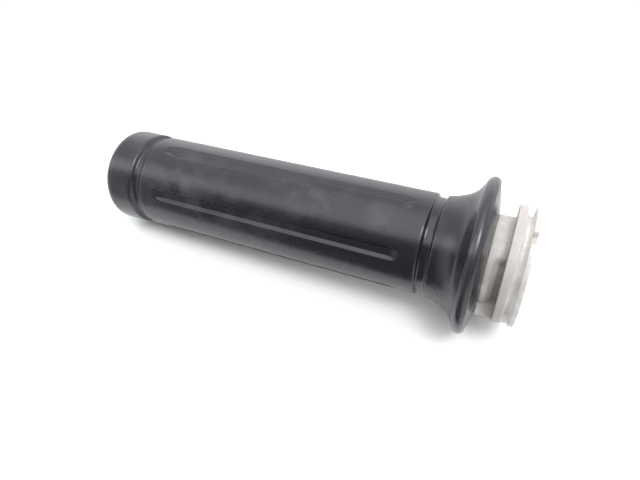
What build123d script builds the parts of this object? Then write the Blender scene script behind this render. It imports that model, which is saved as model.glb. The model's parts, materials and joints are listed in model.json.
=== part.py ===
"""Motorcycle throttle grip: a rubber sleeve on a one-piece nylon throttle tube.

Units are mm. The handlebar runs along X. The origin is the centre of the handlebar
bore's mouth, on the cable drum's end face. +X points to the closed outer end of the
grip and +Z points up. Angles round the axis are measured from +Z towards +Y.
"""

import os
from math import cos, radians, sin

from build123d import *

# Throttle tube: bore, barrel and neck
bore_r = 11.4
barrel_r = 13.0
neck_r = 13.5
neck_end_x = 10.9
tube_end_x = 139.3

# Cable drum: two discs with the throttle cable's groove between them
outer_disc_r = 17.6
outer_disc_end_x = 1.5
groove_r = 14.6
inner_disc_start_x = 3.6
inner_disc_end_x = 6.1
inner_disc_r = 17.4
disc_edge_r = 0.35

# Stop sector: the solid block that limits the twist and holds the cable nipple
sector_r = 17.1
sector_start_deg = 113.0
sector_end_deg = 205.0
sector_mid_deg = (sector_start_deg + sector_end_deg) / 2
sector_half_deg = (sector_end_deg - sector_start_deg) / 2

# Cable nipple socket in the sector, with the slot its cable leaves by
nipple_r = 2.1
nipple_depth = 8.0
nipple_centre_r = 14.3
nipple_deg = 188.0
cable_slot_w = 1.6

# Housing peg track in the neck, and the deeper undercut beside the inner disc
track_end_x = 9.4
track_floor_r = 12.7
track_start_deg = 42.0
undercut_end_x = 7.6
undercut_floor_r = 12.1

# Index notch in the outer disc's rim
notch_w = 2.8
notch_depth = 1.5
notch_deg = 13.5

# Keying ribs that stop the sleeve turning on the barrel
rib_count = 6
rib_r = 13.7
rib_w = 2.0
rib_start_x = 26.0
rib_end_x = 128.0
rib_first_deg = 30.0

# Rubber sleeve: body, ring grooves and closed outer end
body_r = 16.0
ring_groove_r = 15.05
inner_ring_start_x = 25.8
inner_ring_end_x = 29.2
outer_ring_start_x = 126.65
outer_ring_end_x = 130.3
ring_edge_r = 0.4
cap_r = 16.35
cap_end_x = 142.3
cap_corner_r = 3.5

# Hand-guard flange at the drum end of the sleeve
flange_r = 23.9
flange_back_x = 12.6
flange_tip_x = 14.35
flange_front_x = 16.1
flange_edge_r = 22.8

# Six long channels moulded into the sleeve's body
channel_count = 6
channel_start_x = 33.2
channel_end_x = 122.9
channel_floor_w = 2.4
channel_floor_r = 15.05
channel_wall_deg = 40.0
channel_cut_h = 1.4


def spoke_plane(angle_deg, radius, x=0.0):
    """Plane whose normal points radially out at this angle, with its own X along the axis."""
    y = sin(radians(angle_deg))
    z = cos(radians(angle_deg))
    return Plane(origin=(x, radius * y, radius * z), x_dir=(1, 0, 0), z_dir=(0, y, z))


def ring_sector(inner_r, outer_r, start_deg, end_deg):
    """Closed outline of a ring sector, drawn in the YZ plane as (y, z)."""
    mid_deg = (start_deg + end_deg) / 2

    def at(radius, angle_deg):
        return (radius * sin(radians(angle_deg)), radius * cos(radians(angle_deg)))

    inner_arc = ThreePointArc(at(inner_r, start_deg), at(inner_r, mid_deg), at(inner_r, end_deg))
    outer_arc = ThreePointArc(at(outer_r, end_deg), at(outer_r, mid_deg), at(outer_r, start_deg))
    Line(inner_arc @ 1, outer_arc @ 0)
    Line(outer_arc @ 1, inner_arc @ 0)


os.makedirs("parts", exist_ok=True)

# One-piece nylon throttle tube with its cable drum
with BuildPart() as throttle_tube:
    with BuildSketch(Plane.XZ):
        with BuildLine():
            Polyline(
                (0, bore_r),
                (0, outer_disc_r),
                (outer_disc_end_x, outer_disc_r),
                (outer_disc_end_x, groove_r),
                (inner_disc_start_x, groove_r),
                (inner_disc_start_x, inner_disc_r),
                (inner_disc_end_x, inner_disc_r),
                (inner_disc_end_x, neck_r),
                (neck_end_x, neck_r),
                (neck_end_x, barrel_r),
                (tube_end_x, barrel_r),
                (tube_end_x, bore_r),
                close=True,
            )
        make_face()
    revolve(axis=Axis.X)
    rims = throttle_tube.edges().filter_by(
        lambda edge: edge.geom_type == GeomType.CIRCLE and edge.radius > sector_r
    )
    fillet(rims, radius=disc_edge_r)
    with BuildSketch(Plane.YZ):
        with BuildLine():
            ring_sector(bore_r + 1, sector_r, sector_start_deg, sector_end_deg)
        make_face()
    extrude(amount=neck_end_x)
    with BuildSketch(Plane.YZ.offset(inner_disc_end_x)):
        with BuildLine():
            ring_sector(track_floor_r, flange_r, track_start_deg, sector_start_deg)
        make_face()
    extrude(amount=track_end_x - inner_disc_end_x, mode=Mode.SUBTRACT)
    with BuildSketch(Plane.YZ.offset(inner_disc_end_x)):
        with BuildLine():
            ring_sector(undercut_floor_r, flange_r, track_start_deg, sector_start_deg)
        make_face()
    extrude(amount=undercut_end_x - inner_disc_end_x, mode=Mode.SUBTRACT)
    with BuildSketch(spoke_plane(notch_deg, outer_disc_r - notch_depth)):
        Rectangle(2 * outer_disc_end_x, notch_w)
    extrude(amount=2 * notch_depth, mode=Mode.SUBTRACT)
    with BuildSketch(Plane.YZ):
        with Locations(
            (
                nipple_centre_r * sin(radians(nipple_deg)),
                nipple_centre_r * cos(radians(nipple_deg)),
            )
        ):
            Circle(nipple_r)
    extrude(amount=nipple_depth, mode=Mode.SUBTRACT)
    with BuildSketch(Plane.YZ):
        with BuildLine():
            ring_sector(groove_r, groove_r + cable_slot_w, nipple_deg, sector_end_deg)
        make_face()
    extrude(amount=inner_disc_start_x, mode=Mode.SUBTRACT)
    for rib in range(rib_count):
        with BuildSketch(spoke_plane(rib_first_deg + rib * 360 / rib_count, bore_r + 0.8)):
            with Locations(((rib_start_x + rib_end_x) / 2, 0)):
                Rectangle(rib_end_x - rib_start_x, rib_w)
        extrude(amount=rib_r - bore_r - 0.8)
throttle_tube.part.label = "throttle_tube"
export_step(throttle_tube.part, "parts/throttle_tube.step")

# Rubber sleeve with flange, ring grooves, channels and closed end
with BuildPart() as grip_sleeve:
    with BuildSketch(Plane.XZ):
        with BuildLine():
            back_face = Spline(
                (neck_end_x, neck_r + 0.3),
                (11.7, 18.8),
                (flange_back_x, flange_edge_r),
                tangents=[(0.1, 1), (0.25, 1)],
            )
            rim = ThreePointArc(
                back_face @ 1,
                (flange_tip_x, flange_r),
                (flange_front_x, flange_edge_r),
            )
            flare = Spline(
                rim @ 1,
                (17.1, 20.9),
                (18.45, 19.2),
                (20.4, 17.85),
                (23.2, 16.65),
                (inner_ring_start_x - ring_edge_r, body_r),
                tangents=[(0.45, -1), (1, -0.2)],
            )
            rings = FilletPolyline(
                flare @ 1,
                (inner_ring_start_x, body_r - 0.1),
                (inner_ring_start_x, ring_groove_r),
                (inner_ring_end_x, ring_groove_r),
                (inner_ring_end_x, body_r),
                (outer_ring_start_x, body_r),
                (outer_ring_start_x, ring_groove_r),
                (outer_ring_end_x, ring_groove_r),
                (outer_ring_end_x, cap_r),
                (cap_end_x - cap_corner_r, cap_r),
                radius=ring_edge_r,
            )
            corner = JernArc(rings @ 1, (1, 0), cap_corner_r, -90)
            Polyline(
                corner @ 1,
                (cap_end_x, 0),
                (tube_end_x, 0),
                (tube_end_x, barrel_r),
                (neck_end_x, barrel_r),
                back_face @ 0,
            )
        make_face()
    revolve(axis=Axis.X)
    for channel in range(channel_count):
        with BuildSketch(spoke_plane(channel * 360 / channel_count, channel_floor_r)):
            with Locations(((channel_start_x + channel_end_x) / 2, 0)):
                SlotOverall(channel_end_x - channel_start_x - 2, channel_floor_w)
        extrude(amount=channel_cut_h, taper=-channel_wall_deg, mode=Mode.SUBTRACT)
    for rib in range(rib_count):
        with BuildSketch(spoke_plane(rib_first_deg + rib * 360 / rib_count, bore_r)):
            with Locations(((rib_start_x + rib_end_x) / 2, 0)):
                Rectangle(rib_end_x - rib_start_x, rib_w)
        extrude(amount=rib_r - bore_r, mode=Mode.SUBTRACT)
grip_sleeve.part.label = "grip_sleeve"
export_step(grip_sleeve.part, "parts/grip_sleeve.step")
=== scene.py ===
"""Looks of a motorcycle throttle grip: a worn rubber sleeve on a nylon throttle tube.

Shapes are worked out in millimetres round the X axis and become metres when a mesh is made.
Angles round the axis are measured from +Z towards +Y, as in the CAD model.
"""

import json
import math

import bmesh
import bpy
import numpy as np
from mathutils import Matrix, Vector, noise


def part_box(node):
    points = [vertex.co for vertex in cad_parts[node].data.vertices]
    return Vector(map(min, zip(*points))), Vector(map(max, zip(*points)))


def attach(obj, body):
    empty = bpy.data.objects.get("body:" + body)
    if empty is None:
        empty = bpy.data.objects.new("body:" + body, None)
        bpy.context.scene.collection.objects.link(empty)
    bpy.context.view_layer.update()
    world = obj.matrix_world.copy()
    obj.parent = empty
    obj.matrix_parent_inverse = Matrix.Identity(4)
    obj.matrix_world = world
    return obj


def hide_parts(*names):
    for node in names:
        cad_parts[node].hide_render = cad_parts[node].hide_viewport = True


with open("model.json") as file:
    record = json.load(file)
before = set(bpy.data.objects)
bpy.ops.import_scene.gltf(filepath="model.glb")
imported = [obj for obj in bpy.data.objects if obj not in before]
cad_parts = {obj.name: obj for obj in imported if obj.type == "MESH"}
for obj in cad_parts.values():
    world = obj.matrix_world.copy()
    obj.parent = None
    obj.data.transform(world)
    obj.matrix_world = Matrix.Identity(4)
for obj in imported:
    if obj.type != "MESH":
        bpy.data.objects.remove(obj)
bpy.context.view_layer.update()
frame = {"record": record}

MM = 0.001

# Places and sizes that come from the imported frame, in millimetres
SLEEVE_LOW, SLEEVE_HIGH = [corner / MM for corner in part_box("grip_sleeve")]
TUBE_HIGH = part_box("throttle_tube")[1] / MM
MOUNTS = {mount["name"]: mount for mount in frame["record"]["mounts"]}

NECK_END_X = SLEEVE_LOW.x
CAP_END_X = SLEEVE_HIGH.x
FLANGE_R = SLEEVE_HIGH.z
TUBE_END_X = TUBE_HIGH.x
OUTER_DISC_R = TUBE_HIGH.z
BORE_R = MOUNTS["handlebar_bore"]["dims"]["r_mm"]
SOCKET_R = MOUNTS["cable_nipple_socket"]["dims"]["r_mm"]
SOCKET_DEPTH = MOUNTS["cable_nipple_socket"]["dims"]["length_mm"]
SOCKET_Y, SOCKET_Z = [value / MM for value in MOUNTS["cable_nipple_socket"]["pos_m"][1:]]

# Rubber sleeve: outlines are lists of (x, r)
BODY_R = 16.0
CAP_R = 16.35
CAP_CORNER_R = 3.5
CAP_CENTRE_R = 1.5
FLARE_POINTS = [(16.1, 22.8), (17.1, 20.75), (18.45, 18.95), (20.4, 17.6), (23.2, 16.5), (25.4, 16.0)]
BACK_FACE_POINTS = [(10.9, 13.8), (11.2, 16.3), (11.7, 18.8), (12.6, 22.8)]
RIM_TIP_X = 14.35
CAVITY_R = 13.0

# Ring grooves, and how far the foot of each wall stands in from its edge
RING_FLOOR_R = 15.05
RING_EDGE_R = 0.65
INNER_RING_X = (25.8, 29.2)
OUTER_RING_X = (126.65, 130.3)
INNER_WALL_RUN = 0.55
OUTER_DRUM_WALL_RUN = 0.8
OUTER_CAP_WALL_RUN = 0.6

# Moulded channels: their ends, and the length over which each end fades in (drum end, cap end).
# The cap end also narrows.
CHANNEL_COUNT = 6
CHANNEL_PITCH_DEG = 360.0 / CHANNEL_COUNT
CHANNEL_X = (33.4, 121.9)
CHANNEL_FLOOR_HALF_W = 1.2
CHANNEL_EDGE_HALF_W = 2.0
CHANNEL_RUN_OUT = (4.5, 5.0)
CHANNEL_NARROWING = 0.45
CHANNEL_EDGE_SOFTNESS = 0.25
CHANNEL_DEPTH = BODY_R - RING_FLOOR_R

# Unevenness of the moulding: (height, wavelength, seed) of each wave, and how far the surface stands
# in from the CAD's so that no wave passes it, with a little more at the rim and on the cap's face
MOULD_WAVES = ((0.05, 22.0, 3.1), (0.02, 7.0, 8.4))
MOULD_INSET = 0.07
RIM_INSET = 0.03
CAP_FACE_INSET = 0.02

# Nylon tube and cable drum; the barrel and its ribs stand in by TUBE_INSET to clear the sleeve
BARREL_R = 13.0
NECK_R = 13.5
OUTER_DISC_END_X = 1.5
GROOVE_R = 14.6
INNER_DISC_X = (3.6, 6.1)
INNER_DISC_R = 17.4
SECTOR_R = 17.1
SECTOR_DEG = (113.0, 205.0)
TRACK_DEG = (42.0, 113.0)
TRACK_END_X = 9.4
TRACK_R = 12.7
UNDERCUT_END_X = 7.6
UNDERCUT_R = 12.1
NOTCH_DEG = 13.5
NOTCH_W = 2.8
NOTCH_DEPTH = 1.5
TUBE_EDGE_R = 0.32
TUBE_INSET = 0.03
RIB_COUNT = 6
RIB_PITCH_DEG = 360.0 / RIB_COUNT
RIB_FIRST_DEG = 30.0
RIB_W = 2.0
RIB_R = 13.7
RIB_X = (26.0, 128.0)
SLOT_R = (14.6, 16.2)
SLOT_END_X = INNER_DISC_X[0] - 0.07
SOCKET_MOUTH_FLARE = 0.35
SOCKET_DEG = math.degrees(math.atan2(SOCKET_Y, SOCKET_Z)) % 360.0

# Mesh making: longest step between rows, and what counts as a doubled point or a sharp edge
CHANNEL_END_REACH = 1.9
CHANNEL_END_ROW = 0.18
OUTER_ROW = 0.9
CAVITY_ROW = 8.0
MERGE_DISTANCE = 0.002
CUT_EDGE_DEG = 40.0

# Colours, linear
RUBBER_DARK = (0.0108, 0.0115, 0.0158, 1)
RUBBER_GREYED = (0.060, 0.063, 0.072, 1)
NYLON_CLEAN = (0.88, 0.868, 0.84, 1)
NYLON_AGED = (0.475, 0.443, 0.42, 1)
# The stain colour also serves as painted shade in the track and on the sector.
NYLON_STAIN_AND_SHADE = (0.31, 0.258, 0.235, 1)
NYLON_GREASE = (0.17, 0.138, 0.122, 1)

# Surfaces: roughness of the cleanest part, refraction, and how far light scatters in the nylon
RUBBER_ROUGHNESS = 0.18
RUBBER_IOR = 1.56
NYLON_ROUGHNESS = 0.34
NYLON_IOR = 1.53
NYLON_TRANSLUCENCY = 0.3
NYLON_SCATTER = 1.5

# Hand smudges on the grip: ((x, angle), radius)
RUBBER_SMUDGES = [
    ((41.0, 22.0), 8.0),
    ((62.0, 4.0), 13.0),
    ((112.0, 36.0), 7.0),
    ((88.0, 205.0), 14.0),
    ((48.0, 150.0), 11.0),
]

# How dark each place of the nylon is drawn: 0 clean, about 0.4 aged, 0.75 stained, 1 greasy. This is partly
# dirt and partly
# painted shade and light: painted shade in the track, the undercut and on the sector underneath, painted
# light in the groove and on the underside. The groove's walls and the undercut add to the groove and the
# track, and the last three are taken off below.
GRIME_END_FACE = 0.3
GRIME_BORE_MOUTH = 0.6
GRIME_OUTER_DISC = 0.3
# The notch's floor is drawn a darker grey.
NOTCH_DARKER_LEVEL = 0.36
# The groove is kept cleaner than the discs: partly aged tone and partly painted light, standing in for
# light bounced between the discs.
GROOVE_GRIME_WITH_PAINTED_LIGHT = 0.2
EXTRA_GROOVE_WALL = 0.1
GRIME_INNER_DISC = 0.42
GRIME_NECK = 0.34
# The track recess is drawn darker, partly stain and partly painted shade; the undercut deeper in it is
# darker still as painted shade.
TRACK_STAIN_AND_SHADE = 0.47
UNDERCUT_PAINTED_SHADE = 0.12
# The sector underneath is drawn darker: painted shade where it faces the floor.
SECTOR_WITH_PAINTED_SHADE = 0.52
# Painted light: taken off towards the bottom, so the underside is drawn lighter as if lit from the floor.
PAINTED_LIGHT_BELOW_GROOVE = 0.15
PAINTED_LIGHT_BELOW_DRUM = 0.06
PAINTED_LIGHT_BELOW_NECK = 0.16

# Floor: its near edge runs at a slant; past its edges the camera sees a backdrop just as white
FLOOR_COLOR = (0.86, 0.86, 0.86)
FLOOR_ROUGHNESS = 0.6
FLOOR_HALF_LENGTH = 600.0
FLOOR_NEAR_EDGE = 33.0
FLOOR_NEAR_SLOPE = 0.1
FLOOR_FAR_EDGE = -60.0

# Camera: a wide lens close above the grip
CAMERA_AIM = (61.7, 8.5, -0.7)
CAMERA_DISTANCE = 160.0
CAMERA_ELEVATION_DEG = 48.11127
CAMERA_AZIMUTH_DEG = -60.5869
CAMERA_ROLL_DEG = -8.28952
SENSOR_WIDTH = 36.0
FOCAL_LENGTH = 28.125

# Light: the level of each area, then its edges, each as (where it is 0, where it is full). _DEG edges
# are lean: 0 straight up, 90 on the camera side's horizon, -90 on the far side's. The others are
# direction along X: -1 beyond the drum, 1 beyond the cap.
LIGHT_COLOR = (0.97, 0.985, 1.0)
BACKDROP_LEVEL = 1.1
DARK_LEVEL = 0.16
ROOM_LEVEL = 0.98
ROOM_FRONT_DEG = (46.0, 37.0)
PANEL_LEVEL = 1.1
PANEL_BACK_DEG = (-40.0, -10.0)
PANEL_DRUM_EDGE = (-0.5, -0.3)
PANEL_CAP_EDGE = (0.5, 0.3)
STRIP_LEVEL = 1.1
STRIP_BACK_DEG = (8.0, 22.0)
STRIP_DRUM_EDGE = (0.3, 0.5)
SIDE_LEVEL = 1.0
SIDE_BACK_DEG = (-8.0, 22.0)
SIDE_DRUM_EDGE = (0.56, 0.74)
SIDE_CAP_EDGE = (0.95, 0.78)
FAR_LEVEL = 0.55
FAR_TOP_DEG = (-30.0, -75.0)
FAR_LOW_DEG = (-98.0, -88.0)
KEY_LEVEL = 16.0
KEY_FRONT_DEG = (30.0, 21.0)
KEY_BACK_DEG = (2.0, 12.0)
KEY_DRUM_EDGE = (-0.6, -0.4)
KEY_CAP_EDGE = (-0.08, -0.3)
FILL_LEVEL = 1.2
FILL_TOP_DEG = (80.0, 100.0)
FILL_LOW_DEG = (175.0, 150.0)


# ---------------------------------------------------------------- outline helpers


def smooth_through(points, per_span):
    """Catmull-Rom curve through the points, as a list of (x, r)."""
    ends = [
        tuple(2 * a - b for a, b in zip(points[0], points[1])),
        tuple(2 * a - b for a, b in zip(points[-1], points[-2])),
    ]
    padded = np.array([ends[0], *points, ends[1]])
    curve = []
    for p0, p1, p2, p3 in zip(padded, padded[1:], padded[2:], padded[3:]):
        for t in np.linspace(0, 1, per_span, endpoint=False):
            curve.append(
                0.5 * (2 * p1 + (p2 - p0) * t + (2 * p0 - 5 * p1 + 4 * p2 - p3) * t**2
                       + (3 * p1 - p0 - 3 * p2 + p3) * t**3)
            )
    return [tuple(p) for p in curve] + [points[-1]]


def arc(centre, radius, start_deg, end_deg, steps):
    """Points of a circular arc in the (x, r) plane, 0 degrees along +x."""
    angles = np.radians(np.linspace(start_deg, end_deg, steps + 1))
    return [(centre[0] + radius * math.cos(a), centre[1] + radius * math.sin(a)) for a in angles]


def rounded(corners, radius, steps):
    """Polyline through the corners with each inner corner rounded by steps + 1 points."""
    corners = [np.array(corner, float) for corner in corners]
    line = [corners[0]]
    for before, corner, after in zip(corners, corners[1:], corners[2:]):
        run_in, run_out = before - corner, after - corner
        length_in, length_out = np.linalg.norm(run_in), np.linalg.norm(run_out)
        reach = min(radius, 0.45 * length_in, 0.45 * length_out)
        start = corner + run_in / max(length_in, 1e-9) * reach
        end = corner + run_out / max(length_out, 1e-9) * reach
        for t in np.linspace(0, 1, steps + 1):
            line.append((1 - t) ** 2 * start + 2 * t * (1 - t) * corner + t**2 * end)
    line.append(corners[-1])
    return np.array(line)


def spaced(line, longest_at):
    """The same outline, with every stretch longer than longest_at(x) at its middle divided evenly."""
    result = [line[0]]
    for a, b in zip(line, line[1:]):
        parts = max(1, math.ceil(math.dist(a, b) / longest_at(0.5 * (a[0] + b[0]))))
        for k in range(1, parts + 1):
            result.append(tuple(np.array(a) + (np.array(b) - np.array(a)) * k / parts))
    return result


def smoothstep(value, low, high):
    """0 below low, 1 above high, smooth between; low may be the larger one."""
    t = np.clip((value - low) / (high - low), 0.0, 1.0)
    return t * t * (3 - 2 * t)


def angle_gap(angles, centre_deg):
    """Signed difference from centre_deg in degrees, from -180 to 180."""
    return (np.asarray(angles) - centre_deg + 180.0) % 360.0 - 180.0


def on_body(x, angle_deg):
    """The point of the grip's body at this place along and round it."""
    a = math.radians(angle_deg)
    return (x, BODY_R * math.sin(a), BODY_R * math.cos(a))


def ripple(x, angle_deg, wavelength, seed):
    """Smooth noise from -1 to 1 over the surface, with this wavelength along and round it."""
    place = Vector(on_body(x, angle_deg)) / wavelength
    return noise.noise(place + Vector((seed, 2.3 * seed, -1.7 * seed)))


# ---------------------------------------------------------------- mesh helpers


def mesh_object(name, verts_mm, faces):
    """A smooth-shaded object from vertices in millimetres, with near doubles merged."""
    mesh = bpy.data.meshes.new(name)
    mesh.from_pydata([tuple(v) for v in np.asarray(verts_mm) * MM], [], faces)
    shell = bmesh.new()
    shell.from_mesh(mesh)
    bmesh.ops.remove_doubles(shell, verts=shell.verts, dist=MERGE_DISTANCE * MM)
    bmesh.ops.recalc_face_normals(shell, faces=shell.faces)
    shell.to_mesh(mesh)
    shell.free()
    mesh.shade_smooth()
    obj = bpy.data.objects.new(name, mesh)
    bpy.context.scene.collection.objects.link(obj)
    return obj


def add_attribute(obj, key, level_at):
    """Stores level_at(x, r, angles), worked out for all vertices at once, under this name."""
    mesh = obj.data
    places = np.empty(len(mesh.vertices) * 3, np.float32)
    mesh.vertices.foreach_get("co", places)
    x, y, z = (places.reshape(-1, 3) / MM).T
    angles = np.degrees(np.arctan2(y, z))
    layer = mesh.attributes.new(key, "FLOAT", "POINT")
    layer.data.foreach_set("value", level_at(x, np.hypot(y, z), angles).astype(np.float32))


def cut(obj, cutter):
    """Takes the cutter's shape out of the object, keeps its edges sharp and removes the cutter."""
    modifier = obj.modifiers.new("cut", "BOOLEAN")
    modifier.object = cutter
    modifier.solver = "EXACT"
    bpy.context.view_layer.update()
    evaluated = obj.evaluated_get(bpy.context.evaluated_depsgraph_get())
    cut_mesh = bpy.data.meshes.new_from_object(evaluated)
    cut_mesh.set_sharp_from_angle(angle=math.radians(CUT_EDGE_DEG))
    obj.modifiers.clear()
    old_mesh, obj.data = obj.data, cut_mesh
    bpy.data.meshes.remove(old_mesh)
    bpy.data.objects.remove(cutter)


def ring_surface(xs, rs, angles_deg):
    """Vertices of a grid whose row i, column j lies at xs[i, j], radius rs[i, j], angle j."""
    a = np.radians(angles_deg)[None, :]
    return np.stack([xs, rs * np.sin(a), rs * np.cos(a)], axis=-1).reshape(-1, 3)


def grid_faces(rows, columns, closed_rows=False):
    """Quads joining neighbouring rows of a grid whose columns, and rows if asked, wrap round."""
    faces = []
    for i in range(rows if closed_rows else rows - 1):
        upper = i * columns
        lower = ((i + 1) % rows) * columns
        for j in range(columns):
            k = (j + 1) % columns
            faces.append((upper + j, upper + k, lower + k, lower + j))
    return faces


def clustered_angles(edges_deg, fine_deg, fine_reach_deg, coarse_deg):
    """Angles round the full circle, closely spaced near each given edge angle."""
    angles = [0.0]
    while angles[-1] < 360.0:
        near = min(abs(float(angle_gap(angles[-1], edge))) for edge in edges_deg)
        angles.append(angles[-1] + (fine_deg if near < fine_reach_deg else coarse_deg))
    angles = np.array(angles)
    return angles[:-1] * (360.0 / angles[-1]) if angles[-1] - 360.0 < fine_deg else angles[:-1]


# ---------------------------------------------------------------- rubber sleeve


def sleeve_outline():
    """Outer outline of the sleeve, from the neck end out to near the cap's centre."""
    edge_x, edge_r = BACK_FACE_POINTS[-1]
    back_face = smooth_through(BACK_FACE_POINTS, per_span=7)
    rim_half_w = 0.5 * (FLARE_POINTS[0][0] - edge_x)
    rim_rise = FLANGE_R - edge_r
    rim_r = (rim_half_w**2 + rim_rise**2) / (2 * rim_rise)
    rim_turn = math.degrees(math.asin(rim_half_w / rim_r))
    rim_centre = (edge_x + rim_half_w, FLANGE_R - rim_r)
    rim = arc(rim_centre, rim_r, 90 + rim_turn, 90 - rim_turn, steps=14)
    flare = smooth_through(FLARE_POINTS, per_span=7)
    corners = [
        FLARE_POINTS[-1],
        (INNER_RING_X[0], BODY_R - 0.1),
        (INNER_RING_X[0] + INNER_WALL_RUN, RING_FLOOR_R),
        (INNER_RING_X[1] - INNER_WALL_RUN, RING_FLOOR_R),
        (INNER_RING_X[1], BODY_R),
        (OUTER_RING_X[0], BODY_R),
        (OUTER_RING_X[0] + OUTER_DRUM_WALL_RUN, RING_FLOOR_R),
        (OUTER_RING_X[1] - OUTER_CAP_WALL_RUN, RING_FLOOR_R),
        (OUTER_RING_X[1], CAP_R),
        (CAP_END_X - CAP_CORNER_R, CAP_R),
    ]
    rings = rounded(corners, RING_EDGE_R, steps=5)
    corner_centre = (CAP_END_X - CAP_CORNER_R, CAP_R - CAP_CORNER_R)
    corner = arc(corner_centre, CAP_CORNER_R, 90, 0, steps=12)
    end_face = [(CAP_END_X, r) for r in (10.0, 7.0, 4.0, CAP_CENTRE_R)]
    line = [*back_face[:-1], *rim[:-1], *flare[:-1], *rings[:-1], *corner, *end_face]
    return [tuple(p) for p in line]


def cavity_outline():
    """Outline of the cavity for the tube, from the closed end's centre back to the neck end."""
    step_x = 0.1
    return [
        (TUBE_END_X, CAP_CENTRE_R),
        (TUBE_END_X, CAVITY_R),
        (RIB_X[1], CAVITY_R),
        (RIB_X[1] - step_x, CAVITY_R),
        (RIB_X[0] + step_x, CAVITY_R),
        (RIB_X[0], CAVITY_R),
        (NECK_END_X, CAVITY_R),
    ]


def outer_row_spacing(x):
    """Longest step between the outer rows: short where a channel ends, long elsewhere."""
    gap = min(abs(x - end) for end in CHANNEL_X)
    return CHANNEL_END_ROW if gap < CHANNEL_END_REACH else OUTER_ROW


def channel_depth(x, angle_deg):
    """How deep the nearest moulded channel cuts at this place, from 0 to 1."""
    half_pitch = CHANNEL_PITCH_DEG / 2
    gap_deg = abs((angle_deg + half_pitch) % CHANNEL_PITCH_DEG - half_pitch)
    across = math.radians(gap_deg) * 0.5 * (BODY_R + RING_FLOOR_R)
    at_drum_end = max((CHANNEL_X[0] + CHANNEL_RUN_OUT[0] - x) / CHANNEL_RUN_OUT[0], 0.0)
    at_cap_end = max((x - CHANNEL_X[1] + CHANNEL_RUN_OUT[1]) / CHANNEL_RUN_OUT[1], 0.0)
    edge_half_w = CHANNEL_EDGE_HALF_W * (1 - CHANNEL_NARROWING * at_cap_end**2)
    floor_half_w = edge_half_w - CHANNEL_EDGE_HALF_W + CHANNEL_FLOOR_HALF_W
    wall = smoothstep(across, edge_half_w + CHANNEL_EDGE_SOFTNESS, floor_half_w - CHANNEL_EDGE_SOFTNESS)
    return float(wall * smoothstep(max(at_drum_end, at_cap_end), 1.0, 0.0))


def sleeve_wear_and_highlight(x, r, angles):
    """How worn and greyed the rubber's edges are at each place, from 0 to 1; the rim's greying is also a
    painted highlight.
    """
    # The rim's top is greyed partly as wear and partly as a painted highlight along the flange's edge.
    rim = smoothstep(r, FLANGE_R - 0.9, FLANGE_R - 0.1)
    corner_reach = 0.3 * CAP_CORNER_R
    cap_edge = smoothstep(np.hypot(x - CAP_END_X + corner_reach, r - CAP_R + corner_reach), 2.4, 0.4)
    ring_edges = (*INNER_RING_X, *OUTER_RING_X)
    ring = np.max([smoothstep(np.abs(x - edge), 0.7, 0.1) for edge in ring_edges], axis=0)
    ring *= smoothstep(r, BODY_R - 0.35, BODY_R - 0.1)
    return np.max([0.8 * rim, 0.5 * cap_edge, 0.6 * ring], axis=0)


def sleeve_gloss(x, r, angles):
    """Where the rubber keeps its moulded gloss, 0 to 1: the inner ring groove, the rim's front edge."""
    ring = smoothstep(x, INNER_RING_X[0] + 0.2, INNER_RING_X[0] + 0.9)
    ring *= smoothstep(x, INNER_RING_X[1] - 0.2, INNER_RING_X[1] - 0.9)
    rim_edge_r = FLARE_POINTS[0][1]
    rim = smoothstep(x, RIM_TIP_X + 0.1, RIM_TIP_X + 0.7) * smoothstep(r, rim_edge_r - 0.9, rim_edge_r)
    return np.maximum(ring, rim)


def outer_row(x, r, angles):
    """One ring of the sleeve's outer surface, with its channels and unevenness, as xs and rs."""
    has_channels = INNER_RING_X[1] < x < OUTER_RING_X[0] and r > BODY_R - 0.5
    row_x = min(x, CAP_END_X - CAP_FACE_INSET) if r < CAP_R else x
    row_r = []
    for angle in angles:
        depth = channel_depth(x, angle) if has_channels else 0.0
        sag = sum(height * ripple(x, angle, length, seed) for height, length, seed in MOULD_WAVES)
        sag -= RIM_INSET * smoothstep(r, 20.0, FLANGE_R)
        row_r.append(r - CHANNEL_DEPTH * depth + (sag - MOULD_INSET if r > 5.0 else 0.0))
    return [row_x] * len(angles), row_r


def cavity_row(x, r, angles):
    """One ring of the sleeve's cavity, with the slots that the tube's ribs sit in, as xs and rs."""
    rib_half_deg = math.degrees(0.5 * RIB_W / CAVITY_R)
    half_pitch = RIB_PITCH_DEG / 2
    gaps = np.abs((angles - RIB_FIRST_DEG + half_pitch) % RIB_PITCH_DEG - half_pitch)
    in_slot = (gaps < rib_half_deg + 0.6) * (RIB_X[0] < x < RIB_X[1])
    return [x] * len(angles), list(r + (RIB_R - CAVITY_R) * in_slot)


def sleeve_faces(outer_rows, rows, columns):
    """Faces of the closed sleeve; the last two vertices are the cap's and the cavity's centres."""
    cap_centre = rows * columns
    cavity_centre = cap_centre + 1
    cap_row = (outer_rows - 1) * columns
    first_cavity = outer_rows * columns
    last = (rows - 1) * columns
    bridge = {(cap_row + j, cap_row + (j + 1) % columns) for j in range(columns)}
    faces = [f for f in grid_faces(rows, columns) if (f[0], f[1]) not in bridge]
    for j in range(columns):
        k = (j + 1) % columns
        faces.append((cap_row + j, cap_row + k, cap_centre))
        faces.append((cavity_centre, first_cavity + k, first_cavity + j))
        faces.append((last + j, last + k, k, j))
    return faces


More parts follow.
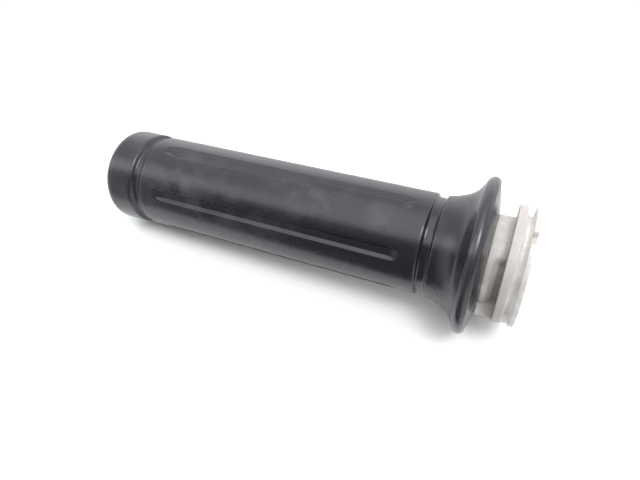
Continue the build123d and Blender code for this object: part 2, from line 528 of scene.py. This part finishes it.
def make_sleeve():
    """The whole rubber sleeve as one closed mesh: outer surface, cap end and inner cavity."""
    outline = spaced(sleeve_outline(), outer_row_spacing)
    cavity = spaced(cavity_outline(), lambda x: CAVITY_ROW)
    channel_centres = [k * CHANNEL_PITCH_DEG for k in range(CHANNEL_COUNT)]
    angles = clustered_angles(channel_centres, fine_deg=0.55, fine_reach_deg=8.5, coarse_deg=2.2)
    grid = [outer_row(x, r, angles) for x, r in outline]
    grid += [cavity_row(x, r, angles) for x, r in cavity]
    xs, rs = np.array(grid).transpose(1, 0, 2)
    centres = [[CAP_END_X - CAP_FACE_INSET, 0, 0], [TUBE_END_X, 0, 0]]
    verts = np.vstack([ring_surface(xs, rs, angles), centres])
    sleeve = mesh_object("rubber_sleeve", verts, sleeve_faces(len(outline), len(grid), len(angles)))
    add_attribute(sleeve, "wear_and_rim_highlight", sleeve_wear_and_highlight)
    add_attribute(sleeve, "gloss", sleeve_gloss)
    sleeve.data.materials.append(rubber_material())
    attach(sleeve, "root")
    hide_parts("grip_sleeve")


# ---------------------------------------------------------------- nylon tube


def sector_mask(angles, start_deg, end_deg, soft_mm, radius):
    """1 between the two angles and 0 outside, with soft edges this wide."""
    middle, half = 0.5 * (start_deg + end_deg), 0.5 * (end_deg - start_deg)
    gap_mm = (half - np.abs(angle_gap(angles, middle))) * math.pi / 180.0 * radius
    return smoothstep(gap_mm, -0.5 * soft_mm, 0.5 * soft_mm)


def mix(a, b, factor):
    """a where factor is 0, b where it is 1."""
    return a + (b - a) * factor


def tube_corners(sector, track, notch, rib):
    """Corners of the tube's outline at one angle, given how far each feature is present there."""
    open_groove = 1 - sector
    outer_r = OUTER_DISC_R - NOTCH_DEPTH * notch
    groove_r = mix(GROOVE_R, SECTOR_R, sector)
    groove_foot_r = groove_r + 0.15 * open_groove
    groove_wall_r = groove_r + 0.95 * open_groove
    undercut_r = mix(mix(NECK_R, UNDERCUT_R, track), SECTOR_R, sector)
    track_r = mix(mix(NECK_R, TRACK_R, track), SECTOR_R, sector)
    neck_r = mix(NECK_R, SECTOR_R, sector)
    barrel_r = BARREL_R - TUBE_INSET
    rib_r = mix(barrel_r, RIB_R - TUBE_INSET, rib)
    end_wall_centre = (TUBE_END_X, 0.5 * (BORE_R + BARREL_R))
    return [
        end_wall_centre,
        (TUBE_END_X, BORE_R),
        (0.0, BORE_R),
        (0.0, outer_r),
        (OUTER_DISC_END_X, outer_r),
        (OUTER_DISC_END_X + 0.12, groove_wall_r),
        (OUTER_DISC_END_X + 0.6, groove_foot_r),
        (0.5 * (OUTER_DISC_END_X + INNER_DISC_X[0]), groove_r),
        (INNER_DISC_X[0] - 0.6, groove_foot_r),
        (INNER_DISC_X[0] - 0.12, groove_wall_r),
        (INNER_DISC_X[0], INNER_DISC_R),
        (INNER_DISC_X[1], INNER_DISC_R),
        (INNER_DISC_X[1], undercut_r),
        (UNDERCUT_END_X - 0.4, undercut_r),
        (UNDERCUT_END_X + 0.2, track_r),
        (TRACK_END_X - 0.9, track_r),
        (TRACK_END_X + 0.1, neck_r),
        (NECK_END_X, neck_r),
        (NECK_END_X, barrel_r),
        (RIB_X[0], barrel_r),
        (RIB_X[0], rib_r),
        (RIB_X[1], rib_r),
        (RIB_X[1], barrel_r),
        (TUBE_END_X, barrel_r),
        end_wall_centre,
    ]


def make_tube():
    """The nylon tube with its cable drum as one closed mesh, with softly rounded edges."""
    notch_half_deg = math.degrees(0.5 * NOTCH_W / OUTER_DISC_R)
    notch_edges = (NOTCH_DEG - notch_half_deg, NOTCH_DEG + notch_half_deg)
    rib_half_deg = math.degrees(0.5 * RIB_W / RIB_R)
    rib_centres = [RIB_FIRST_DEG + k * RIB_PITCH_DEG for k in range(RIB_COUNT)]
    edges = [*SECTOR_DEG, TRACK_DEG[0], *notch_edges]
    edges += [centre + side * rib_half_deg for centre in rib_centres for side in (-1, 1)]
    angles = clustered_angles(edges, fine_deg=0.16, fine_reach_deg=1.2, coarse_deg=1.2)
    sector = sector_mask(angles, *SECTOR_DEG, soft_mm=0.45, radius=15.0)
    track = sector_mask(angles, *TRACK_DEG, soft_mm=2.8, radius=13.0) * (1 - sector)
    notch = sector_mask(angles, *notch_edges, soft_mm=1.0, radius=OUTER_DISC_R)
    ribs = 0.0
    for centre in rib_centres:
        ribs += sector_mask(angles, centre - rib_half_deg, centre + rib_half_deg, soft_mm=0.4, radius=RIB_R)
    outlines = [tube_corners(*presence) for presence in zip(sector, track, notch, ribs)]
    columns = [rounded(outline, TUBE_EDGE_R, steps=4)[:-1] for outline in outlines]
    xs, rs = np.array(columns).transpose(2, 1, 0)
    tube = mesh_object("nylon_tube", ring_surface(xs, rs, angles), grid_faces(*xs.shape, closed_rows=True))
    cut(tube, socket_cutter())
    cut(tube, cable_slot_cutter())
    add_attribute(tube, "grime_and_painted_shading", tube_grime_and_painted_shading)
    tube.data.materials.append(nylon_material())
    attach(tube, "root")
    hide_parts("throttle_tube")


def socket_cutter():
    """Plug-shaped body that cuts the cable nipple's socket, with a flared mouth."""
    steps = 40
    mouth_r = SOCKET_R + SOCKET_MOUTH_FLARE
    outline = [
        (-1.0, mouth_r),
        (-0.01, mouth_r),
        (SOCKET_MOUTH_FLARE, SOCKET_R),
        (SOCKET_DEPTH - 0.3, SOCKET_R),
        (SOCKET_DEPTH, SOCKET_R - 0.3),
    ]
    verts = []
    for x, r in outline:
        for a in np.linspace(0, 2 * math.pi, steps, endpoint=False):
            verts.append((x, SOCKET_Y + r * math.sin(a), SOCKET_Z + r * math.cos(a)))
    last = (len(outline) - 1) * steps
    caps = [tuple(range(steps)), tuple(range(last, last + steps))]
    return mesh_object("socket_cutter", verts, grid_faces(len(outline), steps) + caps)


def cable_slot_cutter():
    """Curved bar that cuts the slot the cable runs through, from the socket to the groove."""
    steps = 14
    corners = [(-1.0, SLOT_R[0]), (-1.0, SLOT_R[1]), (SLOT_END_X, SLOT_R[1]), (SLOT_END_X, SLOT_R[0])]
    verts = []
    for angle in np.radians(np.linspace(SOCKET_DEG, SECTOR_DEG[1] + 3.0, steps)):
        verts += [(x, r * math.sin(angle), r * math.cos(angle)) for x, r in corners]
    last = 4 * (steps - 1)
    caps = [(0, 1, 2, 3), (last, last + 1, last + 2, last + 3)]
    return mesh_object("slot_cutter", verts, caps + grid_faces(steps, 4))


def tube_grime_and_painted_shading(x, r, angles):
    """How dark the nylon is drawn at each place, on the scale of the levels above: dirt, with painted shade
    and painted light.
    """
    in_track = sector_mask(angles, *TRACK_DEG, soft_mm=5.0, radius=NECK_R)
    in_sector = sector_mask(angles, *SECTOR_DEG, soft_mm=1.0, radius=SECTOR_R)
    # Drawn lighter towards the bottom: painted light standing in for light bounced up from the floor.
    below = smoothstep(np.cos(np.radians(angles)), 0.7, -0.2)
    notch_gap = np.abs(angle_gap(angles, NOTCH_DEG)) * math.pi / 180.0 * OUTER_DISC_R
    in_notch = smoothstep(notch_gap, 0.6 * NOTCH_W, 0.4 * NOTCH_W)
    in_notch *= (x < OUTER_DISC_END_X) * (r < OUTER_DISC_R - 0.2)
    end_face = mix(GRIME_END_FACE, GRIME_BORE_MOUTH, smoothstep(r, BORE_R + 1.6, BORE_R))
    outer_disc = mix(GRIME_OUTER_DISC, NOTCH_DARKER_LEVEL, in_notch)
    groove = GROOVE_GRIME_WITH_PAINTED_LIGHT + EXTRA_GROOVE_WALL * smoothstep(r, GROOVE_R + 1.5, INNER_DISC_R)
    groove = groove - PAINTED_LIGHT_BELOW_GROOVE * below
    drum = np.where(x < INNER_DISC_X[0] + 0.1, groove, GRIME_INNER_DISC)
    drum = np.where(x < OUTER_DISC_END_X + 0.1, outer_disc, drum) - PAINTED_LIGHT_BELOW_DRUM * below
    # Painted shade in the track recess, darkest in the undercut.
    undercut = smoothstep(x, UNDERCUT_END_X + 1.2, UNDERCUT_END_X - 1.2)
    recess = in_track * smoothstep(x, TRACK_END_X + 0.8, TRACK_END_X - 1.0)
    neck = mix(GRIME_NECK, TRACK_STAIN_AND_SHADE + UNDERCUT_PAINTED_SHADE * undercut, recess)
    # The sector is drawn darker as painted shade.
    neck = mix(neck - PAINTED_LIGHT_BELOW_NECK * below, SECTOR_WITH_PAINTED_SHADE, in_sector)
    return np.where(x < 0.3, end_face, np.where(x < INNER_DISC_X[1] - 0.05, drum, neck))


# ---------------------------------------------------------------- node helpers


def add_node(tree, kind, inputs=None, **settings):
    """A new node with its properties set and its input sockets given a value or a link."""
    node = tree.nodes.new(kind)
    for key, value in settings.items():
        setattr(node, key, value)
    for key, value in (inputs or {}).items():
        if isinstance(value, bpy.types.NodeSocket):
            tree.links.new(value, node.inputs[key])
        else:
            node.inputs[key].default_value = value
    return node


def maths(tree, operation, a, b=0.0):
    """A maths node's result; a and b are sockets or numbers."""
    return add_node(tree, "ShaderNodeMath", {0: a, 1: b}, operation=operation).outputs[0]


def product(tree, first, *others):
    """All the values multiplied together."""
    for other in others:
        first = maths(tree, "MULTIPLY", first, other)
    return first


def weighted_sum(tree, start, *terms):
    """start plus each (value, weight) term's value times its weight."""
    for value, weight in terms:
        start = maths(tree, "ADD", start, maths(tree, "MULTIPLY", value, weight))
    return start


def blend_range(tree, value, low, high):
    """0 below low, 1 above high, smooth between; low may be the larger one."""
    inputs = {"Value": value, "From Min": low, "From Max": high}
    return add_node(tree, "ShaderNodeMapRange", inputs, interpolation_type="SMOOTHSTEP").outputs["Result"]


def attribute(tree, name):
    """The value of a float attribute that the mesh carries."""
    return add_node(tree, "ShaderNodeAttribute", attribute_name=name).outputs["Fac"]


# ---------------------------------------------------------------- materials


def new_material(name):
    """A node material; returns it with its node tree and its Principled shader."""
    material = bpy.data.materials.new(name)
    material.use_nodes = True
    return material, material.node_tree, material.node_tree.nodes["Principled BSDF"]


def noise_at(tree, place, size, detail=4.0, roughness=0.55, stretch=(1, 1, 1), offset=0.0):
    """Noise whose blobs are about this many millimetres across, stretched along an axis if asked."""
    scale = [1 / (MM * size * part) for part in stretch]
    inputs = {"Vector": place, "Scale": scale, "Location": (offset, 1.7 * offset, -offset)}
    mapped = add_node(tree, "ShaderNodeMapping", inputs).outputs["Vector"]
    inputs = {"Vector": mapped, "Scale": 1.0, "Detail": detail, "Roughness": roughness}
    return add_node(tree, "ShaderNodeTexNoise", inputs, noise_dimensions="3D").outputs["Fac"]


def mix_color(tree, factor, first, second):
    """The first colour where factor is 0, the second where it is 1."""
    node = add_node(tree, "ShaderNodeMix", data_type="RGBA")
    for socket, value in ((node.inputs[0], factor), (node.inputs[6], first), (node.inputs[7], second)):
        if isinstance(value, bpy.types.NodeSocket):
            tree.links.new(value, socket)
        else:
            socket.default_value = value
    return node.outputs[2]


def smudge(tree, place, centre, radius):
    """1 at a place on the grip's body, given as (x, angle), and 0 past this many millimetres."""
    inputs = {0: place, 1: [value * MM for value in on_body(*centre)]}
    gap = add_node(tree, "ShaderNodeVectorMath", inputs, operation="DISTANCE").outputs["Value"]
    return blend_range(tree, gap, radius * MM, 0.25 * radius * MM)


def scratches(tree, place, size, stretch, width, offset):
    """Thin broken lines: where a stretched noise crosses its middle value."""
    lines = noise_at(tree, place, size, detail=1.0, roughness=0.5, stretch=stretch, offset=offset)
    gap = maths(tree, "ABSOLUTE", maths(tree, "SUBTRACT", lines, 0.5))
    thin = blend_range(tree, gap, width, 0.0)
    clusters = noise_at(tree, place, size=9.0, detail=3.0, roughness=0.6, offset=offset + 4.0)
    return product(tree, thin, blend_range(tree, clusters, 0.54, 0.68))


def add_relief(tree, shader, height, strength, depth):
    """Bumps the surface by this height, where 1 is `depth` millimetres."""
    inputs = {"Height": height, "Strength": strength, "Distance": depth * MM}
    bump = add_node(tree, "ShaderNodeBump", inputs)
    tree.links.new(bump.outputs["Normal"], shader.inputs["Normal"])


def rubber_material():
    """Old black rubber: handled and slightly greyed, with fine grain, smudges, scuffs and a painted
    highlight greyed onto the flange's rim.
    """
    material, tree, shader = new_material("worn_rubber")
    place = add_node(tree, "ShaderNodeTexCoord").outputs["Object"]
    worn_edge_and_highlight = attribute(tree, "wear_and_rim_highlight")
    gloss = attribute(tree, "gloss")

    cloud = blend_range(tree, noise_at(tree, place, size=9.0, detail=6.0, roughness=0.6), 0.42, 0.72)
    broad = noise_at(tree, place, size=34.0, detail=3.0, roughness=0.5, stretch=(2.2, 1, 1), offset=7.0)
    film = product(tree, cloud, blend_range(tree, broad, 0.38, 0.66))
    for centre, radius in RUBBER_SMUDGES:
        film = weighted_sum(tree, film, (smudge(tree, place, centre, radius), cloud))
    along = scratches(tree, place, size=1.6, stretch=(6, 1, 1), width=0.012, offset=2.0)
    across = scratches(tree, place, size=1.3, stretch=(1, 4, 4), width=0.01, offset=11.0)
    lines = weighted_sum(tree, along, (across, 0.4))
    dust = noise_at(tree, place, size=0.7, detail=2.0, roughness=0.5, offset=3.0)
    specks = blend_range(tree, dust, 0.69, 0.76)
    # Greyed edges: wear, and on the flange's rim also a painted highlight.
    grey = weighted_sum(tree, 0.0, (film, 0.5), (worn_edge_and_highlight, 0.35), (specks, 0.25), (lines, 0.2))
    grey = maths(tree, "MINIMUM", grey, 1.0)
    tree.links.new(mix_color(tree, grey, RUBBER_DARK, RUBBER_GREYED), shader.inputs["Base Color"])

    uneven = noise_at(tree, place, size=5.0, detail=5.0, roughness=0.6, offset=5.0)
    rough = weighted_sum(tree, RUBBER_ROUGHNESS, (uneven, 0.16), (gloss, -0.11), (film, 0.12), (lines, 0.1))
    tree.links.new(rough, shader.inputs["Roughness"])

    grain = noise_at(tree, place, size=0.35, detail=3.0, roughness=0.6)
    dimples = noise_at(tree, place, size=2.2, detail=3.0, roughness=0.5, offset=9.0)
    relief = weighted_sum(tree, 0.0, (grain, 0.25), (dimples, 0.75), (lines, -0.5))
    add_relief(tree, shader, relief, strength=0.6, depth=0.06)
    shader.inputs["IOR"].default_value = RUBBER_IOR
    return material


def nylon_material():
    """Natural nylon: off-white, waxy and faintly translucent, with old grease and painted shade in the
    recesses and painted light on the underside.
    """
    material, tree, shader = new_material("natural_nylon")
    place = add_node(tree, "ShaderNodeTexCoord").outputs["Object"]
    grime_and_painted_shading = attribute(tree, "grime_and_painted_shading")
    blotch = noise_at(tree, place, size=3.2, detail=5.0, roughness=0.6)
    fine = noise_at(tree, place, size=0.5, detail=4.0, roughness=0.6, offset=3.0)

    blotch_swing = maths(tree, "SUBTRACT", blotch, 0.5)
    fine_swing = maths(tree, "SUBTRACT", fine, 0.5)
    level = weighted_sum(tree, grime_and_painted_shading, (blotch_swing, 0.4), (fine_swing, 0.1))
    grease = blend_range(tree, level, 0.72, 1.0)
    color = mix_color(tree, blend_range(tree, level, 0.0, 0.42), NYLON_CLEAN, NYLON_AGED)
    color = mix_color(tree, blend_range(tree, level, 0.4, 0.78), color, NYLON_STAIN_AND_SHADE)
    color = mix_color(tree, grease, color, NYLON_GREASE)
    tree.links.new(color, shader.inputs["Base Color"])
    rough = weighted_sum(tree, NYLON_ROUGHNESS, (blotch, 0.22), (grease, -0.1))
    tree.links.new(rough, shader.inputs["Roughness"])

    lines = scratches(tree, place, size=1.1, stretch=(1, 4, 4), width=0.014, offset=6.0)
    relief = weighted_sum(tree, 0.0, (fine, 0.4), (blotch, 0.6), (lines, -0.6))
    add_relief(tree, shader, relief, strength=0.5, depth=0.08)
    shader.inputs["IOR"].default_value = NYLON_IOR
    shader.inputs["Subsurface Weight"].default_value = NYLON_TRANSLUCENCY
    shader.inputs["Subsurface Radius"].default_value = (1.0, 0.95, 0.9)
    shader.inputs["Subsurface Scale"].default_value = NYLON_SCATTER * MM
    return material


def floor_material():
    """A plain matt pale surface."""
    material, _, shader = new_material("pale_floor")
    shader.inputs["Base Color"].default_value = (*FLOOR_COLOR, 1)
    shader.inputs["Roughness"].default_value = FLOOR_ROUGHNESS
    return material


# ---------------------------------------------------------------- stage


def add_camera():
    """The photograph's viewpoint: a wide phone lens close above the grip."""
    elevation = math.radians(CAMERA_ELEVATION_DEG)
    azimuth = math.radians(CAMERA_AZIMUTH_DEG)
    roll = math.radians(CAMERA_ROLL_DEG)
    forward = Vector((
        math.cos(elevation) * math.cos(azimuth),
        math.cos(elevation) * math.sin(azimuth),
        -math.sin(elevation),
    ))
    level_right = forward.cross(Vector((0, 0, 1))).normalized()
    level_up = level_right.cross(forward)
    right = level_right * math.cos(roll) + level_up * math.sin(roll)
    up = right.cross(forward)
    place = Matrix((right, up, -forward)).transposed().to_4x4()
    place.translation = (Vector(CAMERA_AIM) - forward * CAMERA_DISTANCE) * MM
    data = bpy.data.cameras.new("photo_camera")
    data.sensor_width = SENSOR_WIDTH
    data.lens = FOCAL_LENGTH
    data.clip_start = 0.005
    camera = bpy.data.objects.new("photo_camera", data)
    camera.matrix_world = place
    bpy.context.scene.collection.objects.link(camera)
    bpy.context.scene.camera = camera


def add_floor():
    """A pale floor that the flange's rim and the cap both rest on."""
    rim_low = Vector((RIM_TIP_X, 0, -FLANGE_R))
    cap_low = Vector((CAP_END_X - CAP_CORNER_R, 0, -CAP_R))
    tilt = math.atan2(cap_low.z - rim_low.z, cap_low.x - rim_low.x)
    half = FLOOR_HALF_LENGTH
    near_cap, near_drum = [FLOOR_NEAR_EDGE + FLOOR_NEAR_SLOPE * x for x in (half, -half)]
    corners = [(-half, FLOOR_FAR_EDGE), (half, FLOOR_FAR_EDGE), (half, near_cap), (-half, near_drum)]
    mesh = bpy.data.meshes.new("floor")
    mesh.from_pydata([(x * MM, y * MM, 0.0) for x, y in corners], [], [(0, 1, 2, 3)])
    floor = bpy.data.objects.new("floor", mesh)
    bpy.context.scene.collection.objects.link(floor)
    floor.matrix_world = Matrix.Translation(rim_low * MM) @ Matrix.Rotation(-tilt, 4, "Y")
    mesh.materials.append(floor_material())


def add_light():
    """Soft studio light, all of it from the world: each area of the room has a level of its own."""
    world = bpy.data.worlds.new("studio")
    bpy.context.scene.world = world
    world.use_nodes = True
    tree = world.node_tree
    background = tree.nodes["Background"]
    direction = add_node(tree, "ShaderNodeTexCoord").outputs["Generated"]
    split = add_node(tree, "ShaderNodeSeparateXYZ", {0: direction})
    along, toward, height = split.outputs["X"], split.outputs["Y"], split.outputs["Z"]
    lean = maths(tree, "MULTIPLY", maths(tree, "ARCTAN2", toward, height), 180.0 / math.pi)

    def area(lean_edges, along_edges):
        """1 inside all these edges and 0 outside, for every direction."""
        edges = [blend_range(tree, lean, *edge) for edge in lean_edges]
        edges += [blend_range(tree, along, *edge) for edge in along_edges]
        return product(tree, *edges)

    levels = [
        # The pale room, up to the dark band behind the camera
        (area([ROOM_FRONT_DEG], []), ROOM_LEVEL),
        # A panel overhead
        (area([ROOM_FRONT_DEG, PANEL_BACK_DEG], [PANEL_DRUM_EDGE, PANEL_CAP_EDGE]), PANEL_LEVEL),
        # A strip above the cap, on the camera side, and a brighter patch lower beyond the cap
        (area([ROOM_FRONT_DEG, STRIP_BACK_DEG], [STRIP_DRUM_EDGE]), STRIP_LEVEL),
        (area([SIDE_BACK_DEG], [SIDE_DRUM_EDGE, SIDE_CAP_EDGE]), SIDE_LEVEL),
        # The far wall
        (area([FAR_TOP_DEG, FAR_LOW_DEG], []), FAR_LEVEL),
        # A narrow key light high over the drum, and a soft fill from below the drum
        (area([KEY_FRONT_DEG, KEY_BACK_DEG], [KEY_DRUM_EDGE, KEY_CAP_EDGE]), KEY_LEVEL),
        (area([FILL_TOP_DEG, FILL_LOW_DEG], [KEY_CAP_EDGE]), FILL_LEVEL),
    ]
    strength = weighted_sum(tree, DARK_LEVEL, *levels)
    seen = add_node(tree, "ShaderNodeLightPath").outputs["Is Camera Ray"]
    strength = product(tree, strength, maths(tree, "SUBTRACT", 1.0, seen))
    strength = weighted_sum(tree, strength, (seen, BACKDROP_LEVEL))
    tree.links.new(strength, background.inputs["Strength"])
    background.inputs["Color"].default_value = (*LIGHT_COLOR, 1.0)


bpy.context.scene.view_settings.view_transform = "Standard"
add_camera()
add_floor()
add_light()
make_sleeve()
make_tube()
